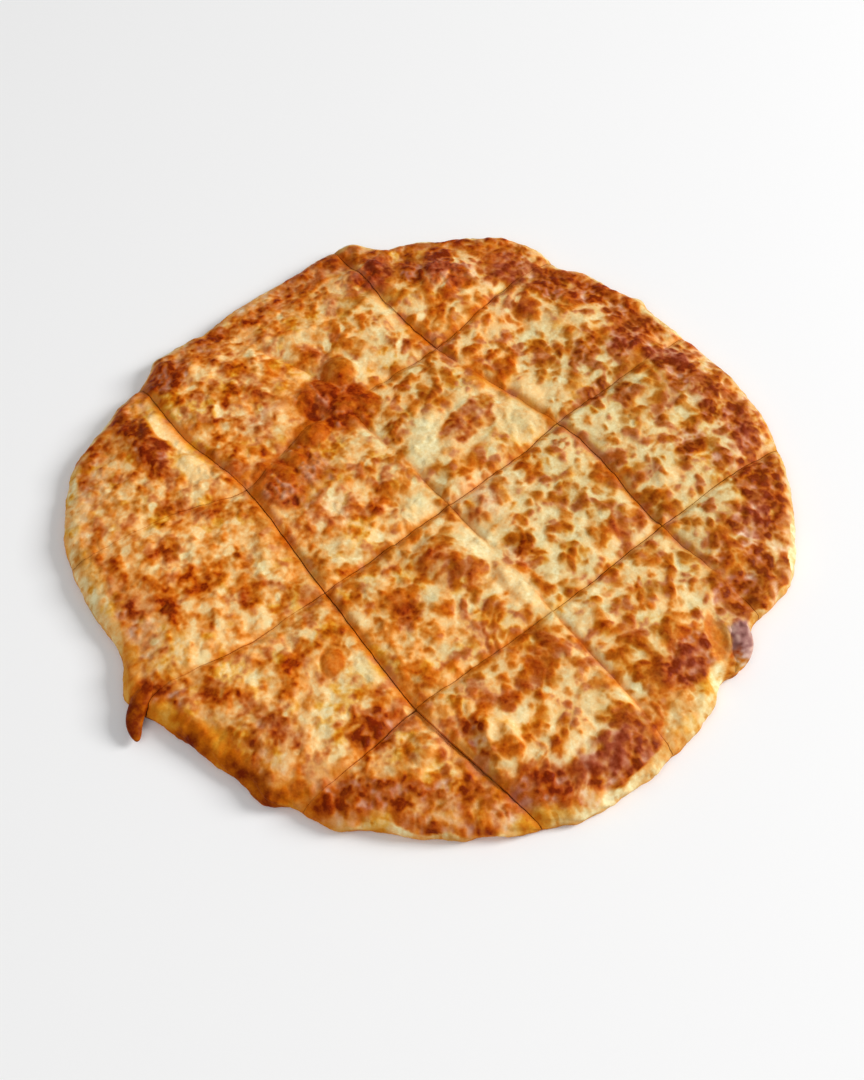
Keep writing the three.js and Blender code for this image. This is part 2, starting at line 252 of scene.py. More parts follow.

# %% [markdown]
# ## Where it browned and where it stayed pale
# The large patches are what makes this pie itself: the double blister left of the middle, the browned
# oval in a smooth cream slice, dark crust along the far and right rim. They could be painted with a brush.
# Given as ellipses (centre, half length, half width, turn, strength), each can be moved by itself.

# %% Listed patches
BROWN_PATCHES = (
    (-27, 117, 11, 10, 20, 1.0), (-10, 120, 11, 7, 80, 1.0), (-42, 127, 10, 6, 40, 0.7),
    (-58, 112, 18, 8, 38, 0.5), (-27, 90, 6, 5, 0, 0.8), (-14, 92, 4, 4, 0, 0.5),
    (-8, 76, 5, 4, 90, 0.5), (-78, 95, 9, 7, 40, 0.6), (-95, 80, 14, 9, 42, 0.7),
    (-112, 60, 12, 9, 50, 1.0), (-84, 64, 7, 7, 0, 0.6), (-43, 60, 9, 7, 30, 1.0),
    (-41, 48, 18, 10, 8, 1.3), (-29, 48, 7, 5, 0, 0.8), (-51, 27, 8, 7, 60, 1.0),
    (-46, 10, 13, 9, -60, 0.7), (-55, 14, 7, 5, 80, 0.8), (-65, 3, 11, 7, -50, 1.1),
    (-119, 24, 21, 8, -55, 1.1), (-111, 12, 7, 6, -40, 0.8), (-139, 25, 7, 4, 60, 0.8),
    (-88, 37, 5, 3, 0, 0.5), (-72, 53, 5, 4, 30, 0.5), (-57, 72, 7, 4, 0, 0.5),
    (-88, 18, 8, 5, -50, 0.5), (-12, 33, 7, 6, 80, 0.8), (-10, 48, 7, 5, 0, 0.5),
    (-2, 61, 9, 5, 20, 0.6), (3, 124, 12, 6, 85, 1.1), (13, 115, 8, 6, 80, 1.0),
    (33, 124, 13, 12, 0, 1.2), (52, 112, 13, 9, -60, 1.0), (68, 110, 16, 7, -30, 1.0),
    (88, 93, 16, 8, -50, 1.0), (86, 80, 13, 8, 70, 1.1), (40, 96, 11, 7, 15, 0.9),
    (31, 68, 9, 8, 20, 0.6), (47, 72, 5, 4, 90, 0.5), (55, 71, 4, 3, 90, 0.5), (38, 85, 5, 4, 90, 0.5),
    (68, 78, 12, 7, 80, 0.7), (5, 97, 6, 4, 70, 0.6), (12, 103, 5, 4, 0, 0.4),
    (103, 70, 13, 9, -45, 1.2), (105, 57, 6, 5, 0, 0.8), (117, 55, 9, 6, -60, 1.0),
    (72, 52, 8, 5, 55, 0.9), (84, 50, 10, 5, 80, 0.6), (96, 42, 6, 5, 90, 0.5),
    (118, 44, 8, 6, -70, 0.8), (131, 33, 18, 7, 100, 1.2), (108, 24, 9, 8, 60, 1.0),
    (95, 26, 5, 4, 0, 0.5), (122, 15, 7, 6, 0, 0.9), (135, 5, 16, 12, 90, 1.2), (74, 11, 9, 7, 30, 0.9),
    (80, 22, 5, 4, 60, 0.4), (64, 38, 9, 7, 20, 0.4), (72, 32, 5, 4, 0, 0.4), (21, 15, 7, 5, -40, 0.5),
    (42, 16, 11, 6, 60, 0.5), (2, 49, 5, 5, 0, 0.5), (10, 65, 11, 6, 0, 0.5), (132, -15, 13, 8, 0, 1.3),
    (130, -31, 10, 7, -60, 0.9), (115, -28, 10, 6, 80, 0.9), (120, -45, 12, 9, 30, 0.9),
    (112, -46, 7, 6, 0, 0.6), (100, -76, 18, 11, 40, 1.1), (85, -82, 7, 7, 0, 0.6),
    (70, -118, 17, 8, 28, 1.3), (73, -104, 9, 8, 0, 0.9), (42, -127, 18, 7, 10, 1.1),
    (17, -109, 11, 4, -60, 0.9), (48, -113, 6, 5, 80, 0.7), (44, -79, 11, 5, 85, 0.6),
    (25, -64, 6, 5, 0, 0.6), (45, -66, 8, 6, 0, 0.6), (55, -95, 4, 4, 0, 0.5), (43, -101, 4, 4, 0, 0.4),
    (30, -95, 5, 4, 80, 0.4), (78, -51, 7, 5, 80, 0.6), (62, -70, 7, 3, -55, 0.5),
    (72, -78, 5, 4, 40, 0.4), (37, -29, 9, 8, 0, 0.8), (55, -36, 7, 6, 0, 0.5), (38, -14, 5, 4, 0, 0.4),
    (55, -14, 8, 3, 60, 0.5), (57, -3, 8, 6, 0, 0.6), (7, -38, 15, 12, -20, 0.9),
    (80, -15, 8, 6, 0, 0.7), (90, -4, 9, 6, -40, 0.8), (-21, -106, 11, 8, 60, 1.1),
    (-18, -131, 24, 7, 2, 1.1), (-33, -138, 8, 4, 0, 0.8), (8, -145, 14, 4, 0, 1.0),
    (-56, -105, 13, 8, -30, 0.8), (-37, -79, 8, 5, 85, 0.9), (-80, -90, 15, 8, -20, 0.7),
    (-98, -90, 8, 7, 40, 1.0), (-109, -54, 13, 7, -10, 0.45), (-98, -60, 6, 4, 0, 0.4),
    (-104, -31, 9, 5, 10, 0.35), (-70, -43, 7, 6, 0, 0.45), (-86, -41, 7, 4, 0, 0.3),
    (-72, -55, 5, 4, -40, 0.35), (-46, -34, 5, 4, 90, 0.9), (-83, -10, 4, 5, 90, 0.5),
    (-105, -9, 8, 4, 20, 0.4), (-22, -5, 10, 4, 80, 0.7), (-48, -6, 6, 5, 60, 0.6),
    (-28, -12, 4, 5, 0, 0.4), (-11, -55, 8, 7, 80, 0.6), (-60, -4, 7, 6, 0, 0.6),
    (-48, -78, 5, 5, 0, 0.4), (10, -128, 14, 6, 5, 0.9), (-98, -96, 12, 5, -48, 1.0),
)
PALE_PATCHES = (
    (17, 36, 25, 15, 52, 1.1), (-38, 103, 8, 5, 90, 0.59), (-24, 103, 9, 5, -15, 0.59),
    (-6, 88, 11, 5, -50, 0.52), (-57, 80, 13, 5, 10, 0.52), (-75, 60, 5, 4, 40, 0.45),
    (-62, 51, 12, 7, 80, 0.52), (-99, 33, 6, 5, 0, 0.39), (-107, 28, 15, 4, -46, 1.5),
    (-97, 10, 11, 7, -60, 1.1), (-62, 30, 6, 5, 0, 0.33), (0, 25, 19, 9, 75, 1.4),
    (-124, 48, 6, 4, -50, 0.52), (-142, -10, 9, 5, 90, 1.2), (13, 94, 19, 4, 46, 0.59),
    (56, 90, 12, 6, 80, 0.52), (26, 88, 8, 6, 0, 0.39), (66, 58, 14, 5, 35, 0.65),
    (22, 57, 11, 4, -30, 0.45), (40, 42, 20, 9, 75, 1.2), (84, 33, 15, 8, 80, 0.52),
    (70, 22, 9, 6, 80, 0.59), (98, 52, 9, 6, 60, 0.52), (60, 9, 14, 6, 80, 0.52),
    (44, 54, 7, 6, 0, 0.39), (19, -24, 12, 9, -40, 1.6), (37, -47, 15, 6, -50, 1.4),
    (57, -67, 9, 3, -55, 0.45), (62, -87, 12, 6, 80, 0.59), (24, -13, 7, 4, 0, 0.33),
    (106, -24, 6, 4, -60, 0.45), (97, -102, 13, 7, 35, 1.4), (43, -136, 6, 5, 0, 0.65),
    (17, -121, 16, 4, -45, 0.65), (52, -103, 8, 4, 30, 0.39), (112, -38, 6, 3, 0, 0.33),
    (-4, -8, 11, 6, 70, 1.3), (-127, -56, 15, 6, -65, 1.3), (-58, -70, 7, 4, 0, 0.52),
    (-64, -60, 9, 4, 20, 0.39), (-50, -52, 8, 4, 40, 0.33), (-22, -82, 9, 6, -40, 1.2),
    (-68, -24, 15, 8, -50, 0.52), (-115, -30, 8, 5, 80, 0.33), (-87, -78, 9, 3, 30, 0.45),
    (-38, -127, 9, 6, 30, 0.59), (-9, -122, 8, 4, 0, 0.45), (-92, -101, 6, 4, -45, 0.45),
    (-128, -12, 8, 6, 60, 0.26),
)
print(len(BROWN_PATCHES), "browned and", len(PALE_PATCHES), "pale patches")

# %% [markdown]
# ## Soft ellipses
# An ellipse with a sharp edge would look like a sticker. These fade out from their middles, are measured
# on the drifted grid so that their edges wander, and where two meet the stronger one counts.

# %% Maps of the patches
PATCH_FADE = (1.35, 0.5)


def ellipse_distance(x, y, long, wide, turn, xs, ys):
    """0 at the middle of an ellipse turned by some degrees, 1 on its edge."""
    cosine = math.cos(math.radians(turn))
    sine = math.sin(math.radians(turn))
    along = ((xs - x) * cosine + (ys - y) * sine) / long
    across = ((ys - y) * cosine - (xs - x) * sine) / wide
    return np.hypot(along, across)


def patch_map(patches, fade_from, fade_to):
    """The strongest of many soft ellipses, cell by cell."""
    field = np.zeros((SIDE, SIDE))
    for x, y, long, wide, turn, strength in patches:
        place = window(x, y, fade_from * max(long, wide) + 8)
        distance = ellipse_distance(x, y, long, wide, turn, drift_x[place], drift_y[place])
        field[place] = np.maximum(field[place], strength * ease(fade_from, fade_to, distance))
    return field


brown_map = patch_map(BROWN_PATCHES, *PATCH_FADE)
pale_map = patch_map(PALE_PATCHES, *PATCH_FADE)
print("browned patches reach", (brown_map > 0.1)[inside].mean().round(2), "and pale ones",
      (pale_map > 0.1)[inside].mean().round(2), "of the pie")

# %% [markdown]
# ## The small blisters
# Between the patches the cheese is freckled with blisters of three sizes, from bubbles of one millimetre
# to ovals of ten. They crowd but seldom overlap, so they are thrown like darts, and a dart that lands too
# near another is left out. Each is a height, 1 in its middle and 0 on its edge. Neighbours melt together:
# the logarithm of summed exponentials keeps the higher one and rounds the seam. Pale curds of cheese that
# never browned are thrown the same way.

# %% Scattered blisters
MELT = 0.3
THROWS_FOR_EACH = 14
THROW_HALF = 152
BARE_EDGE = 2
USUAL_TURN, TURN_SPREAD = 85, 35


def scattered(count, small, large, spacing, seed):
    """Seeded places for blisters: x, y, half length, half width, turn and how strongly each browned."""
    draw = np.random.default_rng(seed)
    cell = 2 * large * spacing
    taken = {}
    blisters = []
    for _ in range(count * THROWS_FOR_EACH):
        x, y = draw.uniform(-THROW_HALF, THROW_HALF, 2)
        radius = small + (large - small) * draw.random() ** 1.3
        stretch = math.sqrt(draw.uniform(1, 1.4))
        turn = draw.normal(USUAL_TURN, TURN_SPREAD)
        strength = draw.uniform(-0.25, 0.25)
        if rim_in[int((y + MAP_HALF) / CELL), int((x + MAP_HALF) / CELL)] < BARE_EDGE:
            continue
        column, row = int(x // cell), int(y // cell)
        near = [b for i in (-1, 0, 1) for j in (-1, 0, 1) for b in taken.get((column + i, row + j), ())]
        if any(math.hypot(b[0] - x, b[1] - y) < spacing * (b[2] + radius) for b in near):
            continue
        taken.setdefault((column, row), []).append((x, y, radius))
        blisters.append((x, y, radius * stretch, radius / stretch, turn, strength))
        if len(blisters) == count:
            break
    return blisters


def blister_heights(blisters):
    """Height of many blisters that melt into each other, from -1 between them to 1 in their middles."""
    field = np.full((SIDE, SIDE), math.exp(-1 / MELT))
    for x, y, long, wide, turn, strength in blisters:
        place = window(x, y, 2 * long + 4)
        distance = ellipse_distance(x, y, long, wide, turn, drift_x[place], drift_y[place])
        field[place] += np.exp((1 + strength - distance ** 1.5) / MELT)
    return MELT * np.log(field)


ovals = blister_heights(scattered(count=520, small=2.9, large=5.2, spacing=0.95, seed=21))
blisters = blister_heights(scattered(count=2100, small=1.4, large=2.7, spacing=0.97, seed=22))
bubbles = blister_heights(scattered(count=8000, small=0.55, large=1.1, spacing=0.97, seed=23))
blister_height = 0.62 * ovals + 0.56 * blisters + 0.2 * bubbles
crust_height = 0.25 * ovals + 0.75 * blisters + 0.32 * bubbles
curd_places = scattered(count=210, small=1.6, large=3.6, spacing=2.3, seed=24)
curds = patch_map([curd[:5] + (0.8 + curd[5],) for curd in curd_places], 1.3, 0.5)
print("blisters cover", (blister_height[inside] > 0).mean().round(2), "of the pie")

# %% [markdown]
# ## The named blisters
# A few blisters are large enough to know by sight. Each has a centre, half length, half width, turn, rise
# and, where its skin has one even tone, that tone on the browning scale, so that no small blisters show
# on it. Some have more: a pale ring where fat ran off, a dry grain, or folds where the skin sank again.

# %% Named blisters
NAMED_BLISTERS = {
    "double blister, wrinkled sheet": (-39, 45, 20, 13, -25, 2.2, 0.88),
    "double blister, far dome": (-39, 63, 8.6, 8, 20, 3, 0.8),
    "dome along the sheet's crease": (-43.4, 52.6, 8, 4.5, -41, 1, 0.92),
    "dome in the middle of the sheet": (-36.1, 44.6, 6.6, 5.6, 20, 1.2, 0.9),
    "dome on the right of the sheet": (-28.3, 49.2, 7, 5.4, -20, 1, 0.96),
    "fold on the left of the sheet": (-53, 46, 8, 4, 85, 0.6, 0.82),
    "hem of the sheet": (-45, 35, 12, 5.5, -20, 0, 0.8),
    "folds by the left crossing": (-52, 15, 17, 9, -58, 1, 0.66),
    "blister at the left crossing": (-62, 4, 16, 10.5, -52, 1.6, 0.74),
    "dome by the double blister": (-49.4, 29.5, 8.6, 7.6, 30, 2.6, 0.82),
    "dome near the left crossing": (-56, 16.5, 5.8, 4.4, 70, 0.9, 0.8),
    "long dome at the left crossing": (-60, 8.3, 7.8, 4, -45, 0.9, 0.84),
    "fold at the left crossing": (-69.6, 6.5, 10, 4.4, 75, 0.7, 0.84),
    "middle dome": (9, -34, 18, 13, -30, 3.2, None),
    "ridge beside the middle dome": (33, -40, 25, 8, -53, 1.6, None),
    "browned oval": (16.5, 36, 18, 9, 52, 1.2, 0.78),
    "crater blister": (26, -111, 13, 9, -62, 2.8, None),
    "hollow of the crater blister": (27, -112, 9, 5.5, -62, -1.8, None),
    "near blister": (-1, -114, 9, 8, 0, 1.8, None),
    "near left oval": (-37, -79, 6.5, 5, 80, 1.2, 0.76),
    "left rim roll": (-120, 24, 24, 9, -52, 1.8, None),
    "far rim puff": (8, 119, 16, 12, 10, 1.6, None),
    "far left rim puff": (-29, 118, 14, 10, 30, 1.5, None),
    "right rim puff": (118, 55, 20, 10, -60, 1.2, None),
    "near right rim puff": (70, -112, 20, 9, 28, 1.3, None),
    "fold beside the crust flap": (111.3, -66, 13, 5, 100, -1.3, 0.62),
}
RINGED = ("crater blister", "near blister", "double blister, far dome")
GRAINY = ("browned oval",)
FOLDED = (
    "double blister, wrinkled sheet", "hem of the sheet", "folds by the left crossing",
    "blister at the left crossing", "far rim puff", "far left rim puff",
)
print(len(NAMED_BLISTERS), "named blisters,", len(FOLDED), "of them folded")

# %% [markdown]
# ## Drawing the named blisters
# Spheres pushed into the top could give these domes, but not their finish. Drawn on the map, each one
# gives a rise and, for every finish that it has, a share from 0 to 1. They are drawn in the table's order,
# so a later skin lies over an earlier one.

# %% Rise and skins of the named blisters
RING_AROUND_SKIN = 1.18
RING_ON_BLISTER = 0.92
RING_WIDTH = 0.1
ragged = noise(1.8, 45)
named_rise = np.zeros((SIDE, SIDE))
skin_tone = np.zeros((SIDE, SIDE))
shares = {label: np.zeros((SIDE, SIDE)) for label in ("skin", "smooth", "ring", "grainy", "fold")}


def widen(label, place, share):
    """Keeps the larger share of a finish, cell by cell."""
    shares[label][place] = np.maximum(shares[label][place], share)


for name, (x, y, long, wide, turn, rise, tone) in NAMED_BLISTERS.items():
    place = window(x, y, 1.2 * max(long, wide) + 4)
    distance = ellipse_distance(x, y, long, wide, turn, map_x[place], map_y[place])
    dome = np.clip(1 - distance ** 2, 0, 1)
    named_rise[place] += rise * dome * dome * (3 - 2 * dome)
    uneven = ellipse_distance(x, y, long, wide, turn, drift_x[place], drift_y[place])
    uneven += 0.06 * ragged[place]
    if tone:
        share = 0.9 * ease(1.2, 0.8, uneven)
        skin_tone[place] = blend(skin_tone[place], tone, share)
        widen("skin", place, share)
        if name not in FOLDED + GRAINY:
            widen("smooth", place, share)
    if name in RINGED:
        ring_at = RING_AROUND_SKIN if tone else RING_ON_BLISTER
        widen("ring", place, np.exp(-(((uneven - ring_at) / RING_WIDTH) ** 2)))
    if name in GRAINY:
        widen("grainy", place, ease(1.1, 0.9, uneven))
    if name in FOLDED:
        widen("fold", place, ease(1.1, 0.4, uneven))
skin_share, smooth_share, ring_share, grainy_share, fold_share = shares.values()
loose_folds = fold_share * (1 - smooth_share)
print("the highest blister rises", named_rise.max().round(1), "mm")

# %% [markdown]
# ## Grain of every size
# Nothing on a baked top is even. These noises, from a fine grain to swells as wide as a thumb, are made
# once and used by several maps, so that a dry crag is both darker and higher in one and the same place.
# Noise stretched along one direction makes wrinkles and folds.

# %% Grain, lumps and folds
fine_grain = noise(0.4, 41)
grain = noise(0.9, 42)
lumps = noise(2.4, 43)
swells = noise(8.0, 44)
crags = 0.8 * noise(0.65, 49) + 0.8 * noise(1.3, 50)
marble = 0.25 * noise(4.5, 70) + 0.5 * noise(2.2, 71) + 0.42 * noise(1.1, 72) + 0.36 * noise(0.55, 73)
wrinkles = noise(0.8, 46, stretch=4.0, turn=-50)
folds = 0.8 * noise(1.2, 47, stretch=1.7, turn=-52) + 0.6 * noise(0.7, 48)
print("crags deviate by", crags.std().round(2), "and folds by", folds.std().round(2))

# %% [markdown]
# ## Bare dough and the heat of the oven
# A thin strip on the very edge is bare dough, wider or narrower at some angles (angle, half width and
# change in width). The rest browned by where it lay: the rim most, the left half more evenly than the
# right, the far rim and the near right a little more. Each of these is a share from 0 to 1 that eases
# out, because heat has no edges.

# %% Dough and heat
DOUGH_WIDTH = 2.0
BARE_DOUGH = (
    (183, 5, 5), (197, 9, 8), (287, 4, 6), (316, 6, 11), (326, 3, 3), (100, 5, 3), (47, 5, 4.5),
    (71, 5, 2.2), (240, 16, -3), (272, 10, -1.5), (15, 30, -1.2),
)
edge_angle = np.degrees(np.arctan2(map_y, map_x)) % 360
dough_width = np.full((SIDE, SIDE), DOUGH_WIDTH)
for at, half, change in BARE_DOUGH:
    dough_width += change * np.exp(-((angle_from(at, edge_angle) / half) ** 2))
dough_share = ease(1.25, 0.75, (rim_in + 1.2 * noise(3, 51)) / np.maximum(dough_width, 0.2))
left_bake = ease(30, -70, map_x + 0.25 * map_y)
rim_bake = ease(26, 4, rim_in + 3 * noise(7, 31))
far_bake = ease(95, 122, map_y) * ease(-80, -45, map_x) * ease(85, 55, map_x)
near_right = round_share(68, -75, 32, 26)
far_right = round_share(81, 40, 30, 26)
crust_share = ease(0.55, 1.1, np.clip(brown_map, 0, 1) + 0.15 * swells) + 0.6 * rim_bake
crust_share = np.clip(crust_share, 0, 1) * (1 - dough_share)
print("crust on", crust_share[inside].mean().round(2), "and bare dough on",
      dough_share[inside].mean().round(2), "of the pie")

# %% [markdown]
# ## The bake
# Patches and blisters add up to one bake. On the right half the blisters stand apart on cream. On the
# left they ran together into a marbled gold, and on the crust the middle-sized ones count most. Pale
# patches, curds and rings take away from the bake.

# %% The bake
spots = blend(blister_height, 1.2 * marble + 0.4 * crust_height, 0.7 * left_bake)
spots = blend(spots, crust_height, crust_share * (1 - 0.4 * left_bake))
spots *= (1 - 0.7 * np.clip(pale_map, 0, 1)) * (1 - 0.15 * far_bake)
bake = spots + 0.12 * swells + 0.06 * grain + 0.14
bake += (0.9 - 0.15 * crust_share) * brown_map - 0.6 * pale_map ** 2
bake += 0.4 * rim_bake + 0.15 * far_bake - 0.04 * left_bake + 0.42 * near_right - 0.1 * far_right
bake += 0.2 * fold_share - 0.45 * ring_share - 0.9 * curds * (1 - crust_share)
print("mean bake", bake[inside].mean().round(2))

# %% [markdown]
# ## The browning map
# A curve turns the bake into a tone from the palest cream, 0, to the darkest crust, 1. It is steepest at
# the edge of a blister, so spots stand out. The left half follows a gentler straight line, because there
# gold runs into gold. Crags break the tone up where the crust is driest.

# %% Browning from 0 to 1
TONE_CURVE = (
    (-1.3, 0.06), (-0.7, 0.15), (-0.35, 0.26), (0, 0.5), (0.3, 0.67), (0.7, 0.8), (1.2, 0.9), (1.8, 0.98),
)
browning = np.interp(bake, *np.array(TONE_CURVE).T)
left_tone = 0.44 + 0.288 * bake + 0.16 * brown_map - 0.1 * pale_map - 0.32 * curds
left_tone -= 0.3 * ease(0.8, 1.2, pale_map)
browning = blend(browning, np.clip(left_tone, 0.05, 0.95), 0.85 * left_bake)
ground_share = ease(0.5, 0.1, browning)
browning += (0.05 * left_bake + 0.1 * rim_bake) * ground_share
browning += 0.12 * crags * crust_share + 0.025 * fine_grain
spot_share = ease(0.3, 0.6, browning)
print("browned share", spot_share[inside].mean().round(2))

# %% [markdown]
# ## Skins, edges and painted shade at the cuts
# Over that tone go the skins of the named blisters, the dotted bare dough, the golden edge at the near
# left, which the butter browned from gold to red-brown, and painted shade along the cuts. The first and
# the last of the falling cuts get a wider band of painted shade.

# %% Tones of skins and edges, painted shade at the cuts
CUT_SHADE_TONE = 0.75
skin_grain_and_crest_light = 0.04 * wrinkles + 0.03 * grain + 0.03 * fine_grain
skin_grain_and_crest_light += crags * (0.13 * grainy_share + 0.06 * loose_folds)
# Painted highlight: the crests of folds on the skins are drawn lighter.
skin_grain_and_crest_light -= 0.2 * folds * fold_share * (1 - 0.8 * smooth_share)
browning = blend(browning, skin_tone + skin_grain_and_crest_light, skin_share)
dough_dots = ease(1.2, 1.9, noise(0.8, 52))
dough_tone = 0.24 + 0.1 * lumps + 0.07 * grain + 0.05 * fine_grain + 0.25 * dough_dots
browning = blend(browning, dough_tone, dough_share)
golden_edge = ease(11, 4, rim_in + 1.5 * lumps) * np.exp(-(((edge_angle - 232) / 22) ** 4))
golden_tone = 0.56 + 0.34 * ease(222, 235, edge_angle) + 0.1 * lumps + 0.06 * grain
browning = blend(browning, golden_tone, 0.95 * golden_edge)
# Painted shade: a narrow dark band along every cut and a wider one along the first and last falling cuts.
painted_gully_shade = np.exp(-((distance_map(falling_lines[::2]) / 2.7) ** 2))
cut_shade_share = np.maximum(0.45 * np.exp(-((cut_distance / 1.2) ** 2)), 0.75 * painted_gully_shade) * open_share
browning = np.clip(blend(browning, CUT_SHADE_TONE, cut_shade_share), 0, 1)
print("mean browning", browning[inside].mean().round(2))

# %% [markdown]
# ## Warm and cool
# At one and the same lightness the left half is more orange, while the smooth slices at the far right are
# greenish cream. A second map from 0, cool, to 1, warm, holds that. Noise of four sizes in it keeps any
# area from having a single hue.

# %% Warmth from 0 to 1
cool_right = round_share(62, 28, 60, 55)
warmth = 0.62 - 0.02 * map_x / 10 - 0.36 * cool_right - 0.35 * dough_share - 0.25 * curds
warmth += 0.25 * np.maximum(np.maximum(fold_share, grainy_share), smooth_share)
warmth += 0.1 * noise(0.7, 61) + 0.13 * noise(1.6, 62) + 0.14 * noise(3.5, 63) + 0.1 * noise(9.0, 64)
warmth = np.clip(warmth, 0, 1)
print("mean warmth", warmth[inside].mean().round(2))

# %% [markdown]
# ## Ash and sheen
# The driest crust has a purple-grey cast, which a third map holds; the same map also paints sheen as
# colour. Most of it lies on listed patches: at the right notch, on the wrinkled sheet, and on the darkest
# places of the rim, where it is partly dry cast and partly painted sheen. A little more lies between the
# crags as painted glints, in scattered dry places, and on the crests of folds as painted highlights. Bare
# dough, curds and the golden edge have next to none.

# %% Ash and painted sheen from 0 to 1
ASH_AND_SHEEN_PATCHES = (
    (121, -67, 6, 11, 0, 1.0), (-43, 47, 13, 9, 8, 0.4), (68, -117, 19, 9, 28, 0.9),
    (132, -12, 14, 10, 80, 0.75), (103, 70, 13, 9, -45, 0.7), (86, 80, 12, 9, 70, 0.85),
    (35, 121, 14, 12, 0, 0.8), (-27, 117, 10, 10, 20, 0.8), (130, 32, 19, 8, 100, 0.75),
    (100, -76, 17, 10, 40, 0.6), (-112, -54, 11, 7, -10, 0.3), (80, -20, 7, 6, 0, 0.5),
    (17, 35, 13, 7, 52, 0.6), (-55, -105, 12, 8, -30, 0.4), (-60, -2, 9, 7, -50, 0.3),
    (4, 121, 12, 8, 85, 0.6), (118, 52, 12, 7, -60, 0.7), (42, -124, 14, 7, 10, 0.5),
    (-112, 18, 10, 5, -55, 0.5), (40, 96, 10, 7, 15, 0.5), (20, -2, 14, 9, 40, 0.35),
    (-72, 40, 14, 9, 70, 0.35), (-40, -12, 14, 9, 40, 0.35),
)
# This map is partly painted sheen: pinkish glints between the crags, pink highlights on the crests of folds
# and on the darkest rim patches.
dry_places = ease(0.0, 1.6, noise(2.2, 65) + 0.5 * noise(0.9, 66)) * ease(0.25, 0.5, browning)
ash = np.maximum(crust_share * (0.4 - 0.3 * crags), (0.6 - 0.2 * left_bake) * dry_places)
ash = np.maximum(ash, 0.95 * fold_share * ease(-0.6, 1.0, folds))
ash *= 1 - (0.75 - 0.5 * fold_share) * ease(0.6, 0.9, browning)
ash = np.maximum(ash, patch_map(ASH_AND_SHEEN_PATCHES, 1.5, 0.2) * (0.8 + 0.35 * grain + 0.3 * lumps))
ash *= (1 - dough_share) * (1 - golden_edge) * (1 - curds) * (1 - 0.8 * smooth_share)
ash = np.clip(ash, 0, 1)
print(len(ASH_AND_SHEEN_PATCHES), "ashen patches, mean ash", ash[inside].mean().round(2))

# %% [markdown]
# ## Oil
# Where melted butter soaked in, the cheese turns a clear golden yellow. The near left edge is the oiliest
# part, the right half has the least, and places with ash or painted sheen and skinned places take less.
# It has a fourth map.

# %% Oil from 0 to 1
OILY_PATCHES = (
    (-100, -76, 12, 8, 60, 0.7), (110, -66, 11, 4, 100, 0.8), (-104, 14, 9, 7, -50, 0.7),
    (108, -86, 8, 6, 40, 0.8), (-92, 96, 22, 5, 42, 0.5), (68, 44, 6, 4, 60, 0.6),
    (10, -96, 6, 4, -50, 0.6), (-40, 66, 6, 4, 20, 0.6), (-132, -38, 10, 5, -65, 0.3),
    (40, -140, 14, 4, 15, 0.6), (-12, 134, 16, 4, 15, 0.6),
)
oil = ease(0.4, 1.9, noise(2.4, 67) + 0.4 * noise(1.0, 68)) * (0.45 + 0.35 * left_bake)
oil = np.maximum(oil, patch_map(OILY_PATCHES, 1.4, 0.4) * (0.85 + 0.25 * lumps))
oil *= (1 - 0.7 * ash) * (1 - 0.7 * skin_share) * ease(0.05, 0.4, browning)
oil = np.clip(np.maximum(oil, 0.75 * golden_edge), 0, 1)
print(len(OILY_PATCHES), "oily patches, mean oil", oil[inside].mean().round(2))

# %% [markdown]
# ## The relief map
# Thickness follows the solid model: 12 mm in the middle, 8 mm at the rim, low pillows between the cuts,
# the named blisters and three long waves (length, direction and height). The fine relief is added to it:
# every browned blister is a small dome, crust is craggy, folded skin is creased and melted cheese smooth.

# %% Thickness of the pie
MIDDLE_THICKNESS = 12.0
RIM_THICKNESS = 8.0
RIM_FALL = 30.0
PILLOW_SINK = 1.1
PILLOW_REACH = 7.0
EDGE_SINK = 1.3
EDGE_REACH = 1.7
WAVES = ((95, 25, 0.35), (70, 110, 0.3), (46, 65, 0.25))
body_share = ease(0, RIM_FALL, rim_in)
thickness = blend(RIM_THICKNESS, MIDDLE_THICKNESS, body_share)
thickness -= PILLOW_SINK * np.exp(-((cut_distance / PILLOW_REACH) ** 2))
thickness -= EDGE_SINK * open_share * np.exp(-((cut_distance / EDGE_REACH) ** 2))
thickness += named_rise
for length, turn, height in WAVES:
    along = map_x * math.cos(math.radians(turn)) + map_y * math.sin(math.radians(turn))
    thickness += height * np.sin(2 * math.pi * along / length)
small_domes = 0.6 * softened(np.clip(blister_height + 0.5, 0, 1.2), 0.4) + 0.15 * softened(spot_share, 0.8)
thickness += small_domes * (1 - skin_share)
thickness += 0.1 * wrinkles * skin_share + 0.35 * folds * loose_folds
thickness += 0.28 * lumps * (1 - 0.5 * skin_share) + 0.1 * crags * crust_share
thickness += 0.05 * grain + 0.02 * fine_grain
print("thickness runs from", thickness[inside].min().round(2), "to", thickness[inside].max().round(2), "mm")

# %% [markdown]
# ## Rings of triangles
# The pie is first made whole and level, as rings of near-equal triangles. A polar grid would crowd the
# middle; rings that each gain six corners keep one size throughout, and each ring follows the rim's
# shape at its own scale.

# %% Discs made of rings
SPOKES = 6


def ring_start(ring):
    """Number of the first vertex of a ring; the middle vertex is number 0."""
    return 1 + SPOKES * ring * (ring - 1) // 2 if ring else 0


